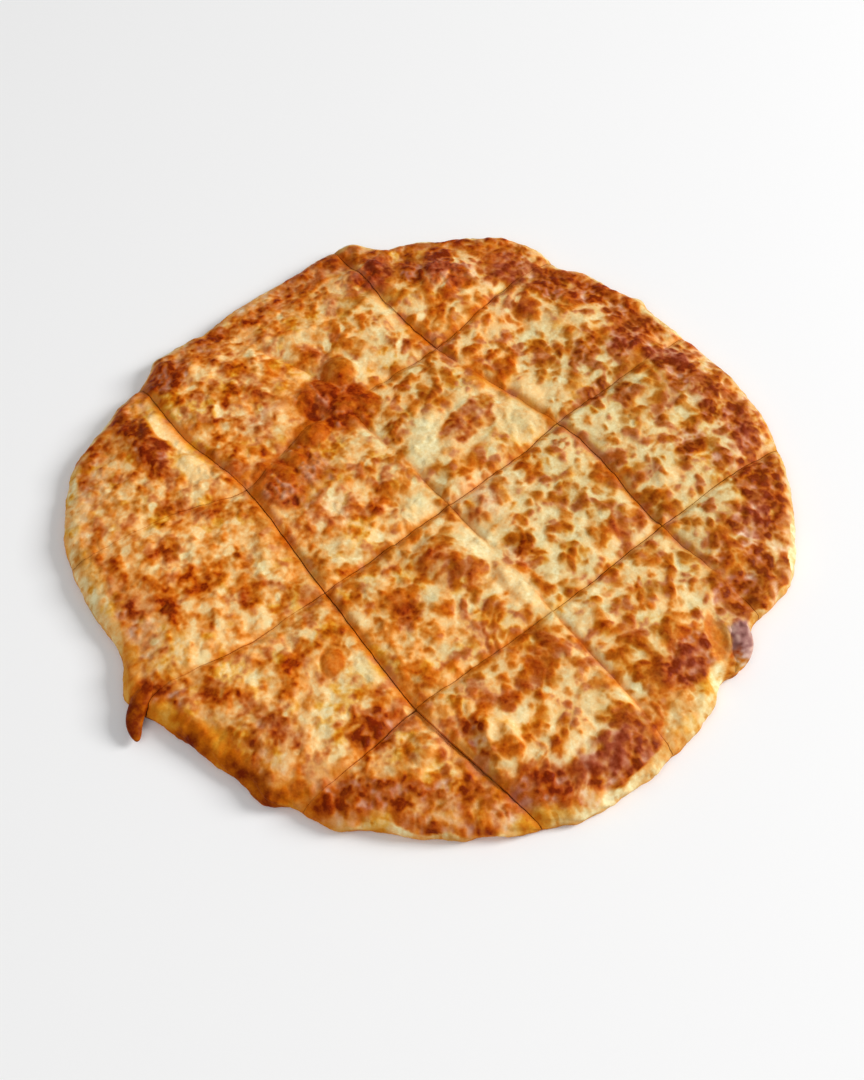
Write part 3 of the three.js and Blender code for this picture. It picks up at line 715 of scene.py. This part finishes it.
def disc_triangles(rings):
    """Triangles, facing up, of a disc whose rings each have six corners more than the one inside."""
    triangles = []
    for ring in range(1, rings + 1):
        spoke, k = (grid.ravel() for grid in np.mgrid[0:SPOKES, 0:ring])
        out = ring_start(ring) + spoke * ring + k
        out_next = ring_start(ring) + (spoke * ring + k + 1) % (SPOKES * ring)
        inner_count = max(1, SPOKES * (ring - 1))
        into = ring_start(ring - 1) + (spoke * (ring - 1) + k) % inner_count
        into_next = ring_start(ring - 1) + (spoke * (ring - 1) + k + 1) % inner_count
        triangles.append(np.stack([out, out_next, into], 1))
        triangles.append(np.stack([into, out_next, into_next], 1)[k < ring - 1])
    return np.vstack(triangles)


def rim_row(corners, share, inset, height):
    """A row of corners that follows the rim, moved in by an inset and shrunk to a share."""
    angle = 2 * np.pi * np.arange(corners) / corners
    radius = (rim_radius(angle) - inset) * share
    return np.stack([radius * np.cos(angle), radius * np.sin(angle), np.full(corners, height)], 1)


def disc_rows(rings, share, inset, height):
    """The middle vertex and all rings of a disc."""
    rows = [rim_row(SPOKES * ring, share * ring / rings, inset, height) for ring in range(1, rings + 1)]
    return [np.array([[0, 0, height]])] + rows


def halving_triangles(outer, inner):
    """Triangles, facing down, between a row and a row inside it with half as many corners."""
    first, middle = outer[0::2], outer[1::2]
    last = np.roll(first, -1)
    inner_next = np.roll(inner, -1)
    corners = ((middle, first, inner), (inner_next, middle, inner), (last, middle, inner_next))
    return np.vstack([np.stack(corner, 1) for corner in corners])


print("a disc of three rings has", len(disc_triangles(3)), "triangles")

# %% [markdown]
# ## One fine level pie
# A disc of rings on top, a rounded edge that tucks in a little where it meets the table, and a flat disc
# underneath make one closed skin. The underside lies on the table and needs fewer rings, so two rows halve
# the number of corners on the way.

# %% Level pie
TOP_RINGS = 344
UNDER_RINGS = TOP_RINGS // 4
UNDER_SHARE = 0.985
EDGE_ROWS = 12
WALL_ROWS = 5
RIM_ROUND = 6.5
RIM_WAIST = 3.5
RIM_TUCK = 2.0


def edge_profile():
    """Inset and height of each row from the top round the rim down to the table."""
    profile = []
    for turn in np.linspace(0, np.pi / 2, EDGE_ROWS + 1)[1:]:
        height = RIM_WAIST + (MIDDLE_THICKNESS - RIM_WAIST) * math.cos(turn)
        profile.append((RIM_ROUND * (1 - math.sin(turn)), height))
    for part in np.linspace(0, 1, WALL_ROWS + 1)[1:]:
        profile.append((RIM_TUCK * part ** 2, RIM_WAIST * (1 - part)))
    return profile


def level_pie():
    """Vertices in mm and triangles of the uncut pie."""
    rows = disc_rows(TOP_RINGS, 1, RIM_ROUND, MIDDLE_THICKNESS)
    triangles = [disc_triangles(TOP_RINGS)]
    rim_corners = SPOKES * TOP_RINGS
    upper = ring_start(TOP_RINGS) + np.arange(rim_corners)
    for inset, height in edge_profile():
        rows.append(rim_row(rim_corners, 1, inset, height))
        lower = upper + rim_corners
        triangles.append(np.stack([upper, lower, np.roll(lower, -1)], 1))
        triangles.append(np.stack([upper, np.roll(lower, -1), np.roll(upper, -1)], 1))
        upper = lower
    rows.append(rim_row(rim_corners // 2, (1 + UNDER_SHARE) / 2, RIM_TUCK, 0))
    halved = upper[-1] + 1 + np.arange(rim_corners // 2)
    triangles.append(halving_triangles(upper, halved))
    rows += disc_rows(UNDER_RINGS, UNDER_SHARE, RIM_TUCK, 0)
    disc_start = halved[-1] + 1
    disc_rim = disc_start + ring_start(UNDER_RINGS) + np.arange(SPOKES * UNDER_RINGS)
    triangles.append(halving_triangles(halved, disc_rim))
    triangles.append(disc_start + disc_triangles(UNDER_RINGS)[:, ::-1])
    return np.vstack(rows), np.vstack(triangles)


def new_object(name, data):
    """An object in the scene that shows a mesh, a light or a camera."""
    thing = bpy.data.objects.new(name, data)
    bpy.context.scene.collection.objects.link(thing)
    return thing


pie_vertices, pie_triangles = level_pie()
pie_mesh = bpy.data.meshes.new("whole_pie")
pie_mesh.from_pydata((pie_vertices * MM).tolist(), [], pie_triangles.tolist())
pie_mesh.update()
whole_pie = new_object("whole_pie", pie_mesh)
print("level pie:", len(pie_vertices), "vertices,", len(pie_triangles), "triangles")

# %% [markdown]
# ## The knife's blocks
# The knife is imitated by eight upright blocks, one for each band between neighbouring cuts. Thin blades
# along the cuts would do too, but they would leave the slices as loose parts of one mesh. Each side of a
# block is a cut moved aside by half the gap, so the gap between two blocks is the width of the cut.

# %% Blocks between the cuts
FAR_OUT = 320.0
BLOCK_FOOT = -0.05
BLOCK_HEIGHT = 0.1


def beside(line, side):
    """The wall of a cut: the line moved by half the gap, to its left where side is 1."""
    along = np.gradient(line, axis=0)
    along /= np.hypot(along[:, 0], along[:, 1])[:, None]
    half_gap = (TIGHT_GAP + (WIDE_GAP - TIGHT_GAP) * cut_open(line[:, 0], line[:, 1])) / 2
    return line + side * half_gap[:, None] * np.stack([-along[:, 1], along[:, 0]], 1)


def far_line(line, distance):
    """Both ends of the line, moved far out to its left."""
    along = (line[-1] - line[0]) / np.hypot(*(line[-1] - line[0]))
    return line[[0, -1]] + distance * np.array([-along[1], along[0]])


def band_block(name, first, last):
    """An upright block between two lines."""
    outline = np.vstack([first, last[::-1]]) * MM
    work = bmesh.new()
    corners = [work.verts.new((x, y, BLOCK_FOOT)) for x, y in outline]
    foot = work.faces.new(corners)
    raised = bmesh.ops.extrude_face_region(work, geom=[foot])["geom"]
    top_corners = [part for part in raised if isinstance(part, bmesh.types.BMVert)]
    bmesh.ops.translate(work, vec=(0, 0, BLOCK_HEIGHT), verts=top_corners)
    bmesh.ops.recalc_face_normals(work, faces=work.faces[:])
    mesh = bpy.data.meshes.new(name)
    work.to_mesh(mesh)
    work.free()
    return new_object(name, mesh)


def band_blocks(name, lines, side):
    """Blocks for all bands of one set of cuts; side is 1 where the next cut lies to the left."""
    blocks = []
    for band in range(len(lines) + 1):
        first = far_line(lines[0], -FAR_OUT * side) if band == 0 else beside(lines[band - 1], side)
        last = far_line(lines[-1], FAR_OUT * side) if band == len(lines) else beside(lines[band], -side)
        blocks.append(band_block(f"{name}_{band}", first, last))
    return blocks


letter_blocks = band_blocks("falling", falling_lines, 1)
number_blocks = band_blocks("rising", rising_lines, -1)
print(len(letter_blocks), "blocks one way and", len(number_blocks), "across")

# %% [markdown]
# ## Cutting
# A slice is what the pie, one falling band and one rising band have in common, so two Boolean
# intersections make it. The manifold solver is quick and keeps every slice closed. The letter of a slice
# names its falling band, the number its rising band.

# %% Slices
LETTERS = "abcd"


def boolean_mesh(piece, other, operation, name):
    """A new mesh: piece joined with or cut to other."""
    step = piece.modifiers.new("knife", "BOOLEAN")
    step.operation = operation
    step.solver = "MANIFOLD"
    step.object = other
    result = bpy.data.meshes.new_from_object(piece.evaluated_get(bpy.context.evaluated_depsgraph_get()))
    piece.modifiers.remove(step)
    result.name = name
    return result


slices = {}
for letter, letter_block in zip(LETTERS, letter_blocks):
    strip = new_object("strip", boolean_mesh(whole_pie, letter_block, "INTERSECT", "strip"))
    for number, number_block in enumerate(number_blocks, 1):
        key = f"{letter}{number}"
        cut_piece = boolean_mesh(strip, number_block, "INTERSECT", f"feteer_{key}")
        slices[key] = new_object(f"feteer_{key}", cut_piece)
        print("slice", key, len(cut_piece.vertices), "vertices")
    bpy.data.objects.remove(strip)
bpy.data.objects.remove(whole_pie)

# %% [markdown]
# ## Raising the slices
# Each slice is still level. Its points are now stretched from the flat underside up to the thickness map,
# so the walls stay upright and neighbours stay apart. A displacement modifier would move the walls too.
# Some slices sit a little higher or lower than their neighbours, and the rounded edge is roughened sideways.

# %% Raise the slices
SLICE_LIFT = (
    (0.3, 0.2, 0, -0.7),
    (0.2, 0.5, 0.3, 0.8),
    (-0.2, 0, -0.2, 0),
    (0.2, -0.3, 0, -0.2),
)


def read_map(field, x, y):
    """The map's value at places in mm, blended between cells."""
    column = np.clip((x + MAP_HALF) / CELL - 0.5, 0, SIDE - 1.001)
    row = np.clip((y + MAP_HALF) / CELL - 0.5, 0, SIDE - 1.001)
    c = column.astype(int)
    r = row.astype(int)
    u = column - c
    v = row - r
    near = field[r, c] * (1 - u) + field[r, c + 1] * u
    far = field[r + 1, c] * (1 - u) + field[r + 1, c + 1] * u
    return near * (1 - v) + far * v


def mesh_points(mesh):
    """All vertices of a mesh, in mm."""
    flat = np.empty(len(mesh.vertices) * 3)
    mesh.vertices.foreach_get("co", flat)
    return flat.reshape(-1, 3) / MM


def move_points(mesh, points):
    """Moves all vertices of a mesh to points in mm."""
    mesh.vertices.foreach_set("co", (points * MM).ravel())
    mesh.update()


def raise_slice(mesh, lift):
    """Stretches one slice to its real thickness and roughens its part of the rim."""
    points = mesh_points(mesh)
    x, y, z = points.T.copy()
    share = z / MIDDLE_THICKNESS
    full = read_map(thickness, x, y) + lift * read_map(body_share, x, y)
    points[:, 2] = share * full
    on_edge = ease(0.97, 0.75, share) * ease(0, 0.12, share) * ease(9, 4, from_rim(x, y))
    crag = read_map(lumps, x + 2 * z, y - 1.5 * z) * 0.35 + read_map(grain, x - z, y + 2 * z) * 0.12
    outward = np.stack([x, y], 1) / np.maximum(np.hypot(x, y), 1)[:, None]
    points[:, :2] += outward * (on_edge * crag)[:, None]
    move_points(mesh, points)


for letter, lifts in zip(LETTERS, SLICE_LIFT):
    for number, lift in enumerate(lifts, 1):
        raise_slice(slices[f"{letter}{number}"].data, lift)
print("raised", len(slices), "slices")

# %% [markdown]
# ## Torn edges
# Two scraps reach out past the rim: a curl of browned cheese that hangs at the near left, and a dark flap
# of crust in the notch on the right. A sphere drawn out along a bent line is enough for each. It is cut to
# its slice's own bands and joined to it, so the slice stays one closed skin. The numbers after the points
# are the half width, the half thickness and how far in from the rim its colour reaches.

# %% Curl and flap
TORN_EDGES = {
    "a2": (
        ((-97, -77, 6), (-105.2, -85.4, 6.6), (-109.6, -92.5, 6), (-111.3, -100, 4.6), (-109.6, -107.5, 3)),
        3.8, 2.8, 12,
    ),
    "c4": (((116.5, -55, 5.6), (120.3, -63, 6.8), (120.6, -70, 6.6), (117.6, -79, 4.8)), 4.8, 2.5, 9),
}


def bent_line(points, places):
    """Points at the given shares, 0 to 1, of a smooth curve through a few points in space."""
    given = np.array(points, float)
    padded = np.vstack([2 * given[:1] - given[1:2], given, 2 * given[-1:] - given[-2:-1]])
    step = np.clip((places * (len(given) - 1)).astype(int), 0, len(given) - 2)
    part = (places * (len(given) - 1) - step)[:, None]
    return smooth_between(*(padded[step + k] for k in range(4)), part)


def torn_edge(name, points, half_width, half_thickness):
    """A flat tongue with round ends that follows its middle line."""
    work = bmesh.new()
    bmesh.ops.create_uvsphere(work, u_segments=72, v_segments=60, radius=1)
    mesh = bpy.data.meshes.new(name)
    work.to_mesh(mesh)
    work.free()
    ball = np.array([vertex.co for vertex in mesh.vertices])
    places = (ball[:, 2] + 1) / 2
    middle = bent_line(points, places)
    along = bent_line(points, np.minimum(places + 0.01, 1)) - bent_line(points, np.maximum(places - 0.01, 0))
    along /= np.linalg.norm(along, axis=1)[:, None]
    aside = np.stack([-along[:, 1], along[:, 0], np.zeros(len(along))], 1)
    aside /= np.linalg.norm(aside, axis=1)[:, None]
    above = np.cross(along, aside)
    body = middle - aside * ball[:, :1] * half_width + above * ball[:, 1:2] * half_thickness
    body += above * (0.3 * read_map(lumps, body[:, 0], body[:, 1]))[:, None]
    move_points(mesh, body)
    return new_object(name, mesh)


for key, (points, half_width, half_thickness, _) in TORN_EDGES.items():
    scrap = torn_edge("torn_edge", points, half_width, half_thickness)
    for block in (letter_blocks[LETTERS.index(key[0])], number_blocks[int(key[1]) - 1]):
        scrap.data = boolean_mesh(scrap, block, "INTERSECT", "torn_edge")
    slices[key].data = boolean_mesh(slices[key], scrap, "UNION", f"feteer_{key}")
    bpy.data.objects.remove(scrap)
    print("torn edge on slice", key)
for block in letter_blocks + number_blocks:
    bpy.data.objects.remove(block)

# %% [markdown]
# ## Tones of the torn edges
# The maps lie flat on the pie, so they can't colour scraps that hang beyond it. Here each point near a
# scrap finds the nearest place on the scrap's middle line and how far inward of it the point lies. The
# curl is nearly burnt, with a painted highlight along its hem on the side that faces the light. The flap
# is brown with a grey bloom between its ends and a pale crest along its inner side, a painted highlight.

# %% Tones of curl and flap
def curl_tones(tone, torn, inward, to_tip, rough):
    """Tones with the burnt curl on them; it has no bloom."""
    # Painted highlight: a lighter line along the hem on the side that faces the light.
    hem = np.exp(-(((inward + 0.8) / 0.2) ** 2))
    crisp = 0.98 + 0.05 * rough - 0.15 * ease(0.3, 0.9, inward) * ease(0.7, 0.4, to_tip) - 0.1 * hem
    return blend(tone, crisp, torn), np.zeros(len(tone))


def flap_tones(tone, torn, inward, to_tip, rough):
    """Tones with the flap of crust on them, and how far each point has a grey bloom."""
    # Painted highlight: a pale line along the crest on the flap's inner side.
    crest_highlight = np.exp(-(((inward - 0.95) / 0.25) ** 2)) * torn
    outer = ease(0.9, 0.65, inward) * torn
    bloom = outer * ease(0.1, 0.25, to_tip + 0.04 * rough) * ease(0.9, 0.72, to_tip + 0.05 * rough)
    tone = blend(tone, 0.6 + 0.14 * rough, outer)
    tone = blend(tone, 0.36 + 0.24 * rough, bloom)
    return blend(tone, 0.34, crest_highlight), bloom


def torn_tones(points, tone, key):
    """Tones and bloom of a slice that has a scrap."""
    path, half_width, _, root = TORN_EDGES[key]
    line = bent_line(path, np.linspace(0, 1, 120))
    away = np.linalg.norm(points[:, None, :] - line[None], axis=2)
    nearest = away.argmin(axis=1)
    torn = ease(half_width + 2.5, half_width - 0.3, away.min(axis=1))
    torn *= ease(root, root - 2, from_rim(*line[nearest, :2].T))
    along = np.gradient(line, axis=0)[nearest]
    offset = points - line[nearest]
    inward = offset[:, 0] * along[:, 1] - offset[:, 1] * along[:, 0]
    inward /= np.hypot(along[:, 0], along[:, 1]) * half_width
    rough = read_map(crags, points[:, 0], points[:, 1] + points[:, 2])
    paint = curl_tones if key == "a2" else flap_tones
    return paint(tone, torn, inward, nearest / (len(line) - 1), rough)


print("scraps to colour:", ", ".join(TORN_EDGES))

# %% [markdown]
# ## Storing the tones
# Every vertex keeps its browning, warmth, ash with painted sheen, oil and bloom as attributes that the
# crust's material reads, so no picture has to be wrapped round the pie. The top reads the maps. The walls
# of the cuts and the edge are plain golden pastry, and the underside, which no one sees, is a mottled
# golden base. Last, each slice moves by a fraction of a millimetre to where the solid model stands in its
# frame.

# %% Tones on the vertices
FRAME_SHIFT = np.array([0.350, -0.541, 0.0])
SHARP_ANGLE = math.radians(55)


def store_tones(mesh, key):
    """Writes the tones to the vertices, then moves the slice into the frame."""
    points = mesh_points(mesh)
    x, y, z = points.T
    top = ease(0.15, 0.6, z / read_map(thickness, x, y))
    wall_tone = 0.5 + 0.1 * read_map(lumps, x, y + 3 * z) + 0.35 * read_map(golden_edge, x, y)
    under_tone = 0.5 + 0.13 * read_map(swells, -x, y) + 0.13 * read_map(lumps, -x, y)
    plain_tone = blend(wall_tone, under_tone, ease(0.4, 0, z))
    tone = blend(plain_tone, read_map(browning, x, y), top)
    bloom = np.zeros(len(points))
    if key in TORN_EDGES:
        tone, bloom = torn_tones(points, tone, key)
    tones = {"browning": tone, "bloom": bloom}
    tones["warmth"] = read_map(warmth, x, y)
    tones["ash"] = read_map(ash, x, y) * top
    tones["oil"] = read_map(oil, x, y) * ease(0, 0.4, z)
    for label, values in tones.items():
        layer = mesh.attributes.new(label, "FLOAT", "POINT")
        layer.data.foreach_set("value", np.clip(values, 0, 1).astype(np.float32))
    mesh.polygons.foreach_set("use_smooth", np.ones(len(mesh.polygons), bool))
    mesh.set_sharp_from_angle(angle=SHARP_ANGLE)
    move_points(mesh, points + FRAME_SHIFT)


for key, piece in slices.items():
    store_tones(piece.data, key)
print("tones on", sum(len(piece.data.vertices) for piece in slices.values()), "vertices")
triangle_counts = [sum(len(face.vertices) - 2 for face in piece.data.polygons) for piece in slices.values()]
print("triangles:", sum(triangle_counts), "in all, at most", max(triangle_counts), "in a slice")

# %% [markdown]
# ## Colours of the crust
# Baked cheese runs from cream through gold and orange to red-brown. One ramp can't hold that, because at
# the same tone warm, cool, oily, ashen and bloomed crust differ in hue, and so does painted sheen, which
# shares the ashen ramp. So there are five ramps over the same tone, with colours from 0 to 255 as they look
# on a screen. Shaders mix linear values, so a small function converts them.

# %% Crust colours
WARM_STOPS = (
    (0.0, (252, 226, 168)), (0.1, (249, 205, 138)), (0.3, (243, 171, 92)), (0.5, (226, 136, 48)),
    (0.7, (206, 103, 14)), (0.9, (166, 61, 2)), (1.0, (122, 32, 0)),
)
COOL_STOPS = (
    (0.0, (240, 228, 180)), (0.1, (228, 208, 152)), (0.3, (212, 171, 106)), (0.5, (198, 138, 62)),
    (0.7, (178, 104, 24)), (0.9, (146, 68, 6)), (1.0, (120, 48, 6)),
)
# The ash ramp also colours painted sheen on dark crust.
ASH_AND_SHEEN_STOPS = (
    (0.0, (238, 208, 176)), (0.3, (214, 154, 120)), (0.6, (182, 106, 74)), (0.8, (156, 72, 42)),
    (1.0, (124, 42, 12)),
)
OILY_STOPS = (
    (0.0, (250, 228, 150)), (0.3, (234, 178, 70)), (0.5, (214, 138, 22)), (0.7, (192, 98, 2)),
    (1.0, (112, 30, 0)),
)
BLOOM_STOPS = ((0.0, (206, 166, 150)), (0.5, (160, 112, 104)), (1.0, (104, 60, 54)))


def linear(colour):
    """A colour as read on a screen, 0 to 255, in the linear values that shaders mix."""
    parts = [c / 255 for c in colour]
    return tuple(c / 12.92 if c < 0.04045 else ((c + 0.055) / 1.055) ** 2.4 for c in parts) + (1,)


print("middle of the warm ramp, linear:", [round(part, 2) for part in linear(WARM_STOPS[3][1])])

# %% [markdown]
# ## Small node helpers
# A node material is a chain of boxes and wires. These four functions each add one kind of box to a node
# tree and return its output, so the material below reads like a recipe.

# %% Node helpers
MIX_FIRST, MIX_SECOND, MIX_RESULT = 6, 7, 2


def stored(tree, label):
    """What the vertices keep under a name."""
    reader = tree.nodes.new("ShaderNodeAttribute")
    reader.attribute_name = label
    return reader.outputs["Fac"]


def scaled_sum(tree, *values):
    """first * factor + last, where each may be a number or another node's output."""
    node = tree.nodes.new("ShaderNodeMath")
    node.operation = "MULTIPLY_ADD"
    for socket, value in zip(node.inputs, values):
        if isinstance(value, (int, float)):
            socket.default_value = value
        else:
            tree.links.new(value, socket)
    return node.outputs[0]


def mixed_colour(tree, share, first, second):
    """The first colour where the share is 0, the second where it is 1."""
    node = tree.nodes.new("ShaderNodeMix")
    node.data_type = "RGBA"
    tree.links.new(share, node.inputs["Factor"])
    tree.links.new(first, node.inputs[MIX_FIRST])
    tree.links.new(second, node.inputs[MIX_SECOND])
    return node.outputs[MIX_RESULT]


def crust_ramp(tree, tone, given):
    """The colour of a tone on one of the ramps."""
    ramp = tree.nodes.new("ShaderNodeValToRGB")
    stops = ramp.color_ramp.elements
    while len(stops) < len(given):
        stops.new(0.5)
    for stop, (position, colour) in zip(stops, given):
        stop.position = position
        stop.color = linear(colour)
    tree.links.new(tone, ramp.inputs["Fac"])
    return ramp.outputs["Color"]


print("helpers:", ", ".join(helper.__name__ for helper in (stored, scaled_sum, mixed_colour, crust_ramp)))

# %% [markdown]
# ## Crust
# The stored browning, with a fine speckle added so that no area is flat, is the tone that all five ramps
# read. Warmth mixes the first two, then oil, ash with its painted sheen, and bloom are laid over them in
# turn. The same speckle gives a slight bump. Cheese is nearly dull: the sheen is weak, a little tighter
# where it browned.

# %% Crust material
SPECKLE_SCALE = 1000
SPECKLE_DETAIL = 4
SPECKLE_ROUGHNESS = 0.6
SPECKLE_SHARE = 0.26
BUMP_STRENGTH = 0.5
BUMP_DEPTH = 0.0003
PALE_ROUGHNESS = 0.6
BROWN_ROUGHNESS = 0.42
SHEEN_LEVEL = 0.03


def crust_material():
    """Colour, sheen and fine grain of baked cheese, all driven by the stored tones."""
    material = bpy.data.materials.new("baked_cheese_crust")
    material.use_nodes = True
    tree = material.node_tree
    nodes = tree.nodes
    links = tree.links
    shader = nodes["Principled BSDF"]
    place = nodes.new("ShaderNodeTexCoord")
    speckle = nodes.new("ShaderNodeTexNoise")
    speckle.inputs["Scale"].default_value = SPECKLE_SCALE
    speckle.inputs["Detail"].default_value = SPECKLE_DETAIL
    speckle.inputs["Roughness"].default_value = SPECKLE_ROUGHNESS
    links.new(place.outputs["Object"], speckle.inputs["Vector"])
    centred = scaled_sum(tree, stored(tree, "browning"), 1.0, -SPECKLE_SHARE / 2)
    tone = scaled_sum(tree, speckle.outputs["Fac"], SPECKLE_SHARE, centred)
    colour = crust_ramp(tree, tone, COOL_STOPS)
    layers = (("warmth", WARM_STOPS), ("oil", OILY_STOPS), ("ash", ASH_AND_SHEEN_STOPS), ("bloom", BLOOM_STOPS))
    for label, stops in layers:
        colour = mixed_colour(tree, stored(tree, label), colour, crust_ramp(tree, tone, stops))
    links.new(colour, shader.inputs["Base Color"])
    sheen = nodes.new("ShaderNodeMapRange")
    sheen.inputs["To Min"].default_value = PALE_ROUGHNESS
    sheen.inputs["To Max"].default_value = BROWN_ROUGHNESS
    links.new(tone, sheen.inputs["Value"])
    links.new(sheen.outputs[0], shader.inputs["Roughness"])
    bump = nodes.new("ShaderNodeBump")
    bump.inputs["Strength"].default_value = BUMP_STRENGTH
    bump.inputs["Distance"].default_value = BUMP_DEPTH
    links.new(speckle.outputs["Fac"], bump.inputs["Height"])
    links.new(bump.outputs["Normal"], shader.inputs["Normal"])
    shader.inputs["Specular IOR Level"].default_value = SHEEN_LEVEL
    return material


crust_finish = crust_material()
for key, piece in slices.items():
    piece.data.materials.clear()
    piece.data.materials.append(crust_finish)
    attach(piece, "root")
    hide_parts(f"slice_{key}")
print("crust on", len(slices), "slices")

# %% [markdown]
# ## Table
# The pie lies on a plain pale surface with no edge in sight. A large square is enough. It belongs to the
# stage and not to the food.

# %% Floor
FLOOR_HALF = 6
floor_mesh = bpy.data.meshes.new("floor")
floor_corners = [(x * FLOOR_HALF, y * FLOOR_HALF, 0) for x, y in ((-1, -1), (1, -1), (1, 1), (-1, 1))]
floor_mesh.from_pydata(floor_corners, [], [(0, 1, 2, 3)])
floor = new_object("floor", floor_mesh)
floor_finish = bpy.data.materials.new("pale_floor")
floor_finish.use_nodes = True
floor_shader = floor_finish.node_tree.nodes["Principled BSDF"]
floor_shader.inputs["Base Color"].default_value = (0.9, 0.9, 0.9, 1)
floor_shader.inputs["Roughness"].default_value = 0.8
floor_mesh.materials.append(floor_finish)
print("floor", 2 * FLOOR_HALF, "m wide")

# %% [markdown]
# ## Light
# The light comes from the right, as from a window, with a weak fill from the front left and an even white
# sky, so that the blisters cast soft shadows to the left. The standard view transform keeps the white
# table white.

# %% Window, fill and sky
def soft_light(name, place, size, power):
    """A square area light that looks at the middle of the pie."""
    lamp = bpy.data.lights.new(name, "AREA")
    lamp.shape = "SQUARE"
    lamp.size = size
    lamp.energy = power
    light = new_object(name, lamp)
    light.location = place
    light.rotation_euler = (-Vector(place)).to_track_quat("-Z", "Y").to_euler()
    print(name, "of", power, "W")


soft_light("window", (2.4, 0.45, 1.4), 1.1, 80)
soft_light("front_fill", (-0.6, -1.2, 2.0), 1.8, 14)
world = bpy.data.worlds.new("studio")
world.use_nodes = True
sky = world.node_tree.nodes["Background"]
sky.inputs["Color"].default_value = (1, 1, 1, 1)
sky.inputs["Strength"].default_value = 0.35
bpy.context.scene.world = world
bpy.context.scene.view_settings.view_transform = "Standard"

# %% [markdown]
# ## Camera
# The camera stands 58 degrees above the table, as the photographer did. Its lens is worked out from the
# distance and from the width that the photo takes in there.

# %% Camera
PHOTO_WIDTH, PHOTO_HEIGHT = 864, 1080
VIEW_ELEVATION = math.radians(58)
VIEW_DISTANCE = 0.600
VIEW_WIDTH = 0.350
VIEW_TARGET = Vector((0.001, -0.020, 0.006))
SENSOR_HEIGHT = 36
camera_data = bpy.data.cameras.new("camera")
camera_data.sensor_fit = "VERTICAL"
camera_data.sensor_height = SENSOR_HEIGHT
camera_data.lens = SENSOR_HEIGHT * VIEW_DISTANCE / (VIEW_WIDTH * PHOTO_HEIGHT / PHOTO_WIDTH)
camera = new_object("camera", camera_data)
back = Vector((0, -math.cos(VIEW_ELEVATION), math.sin(VIEW_ELEVATION)))
camera.location = VIEW_TARGET + Vector(FRAME_SHIFT) * MM + back * VIEW_DISTANCE
camera.rotation_euler = (math.pi / 2 - VIEW_ELEVATION, 0, 0)
bpy.context.scene.camera = camera
print("camera lens", round(camera_data.lens, 1), "mm")
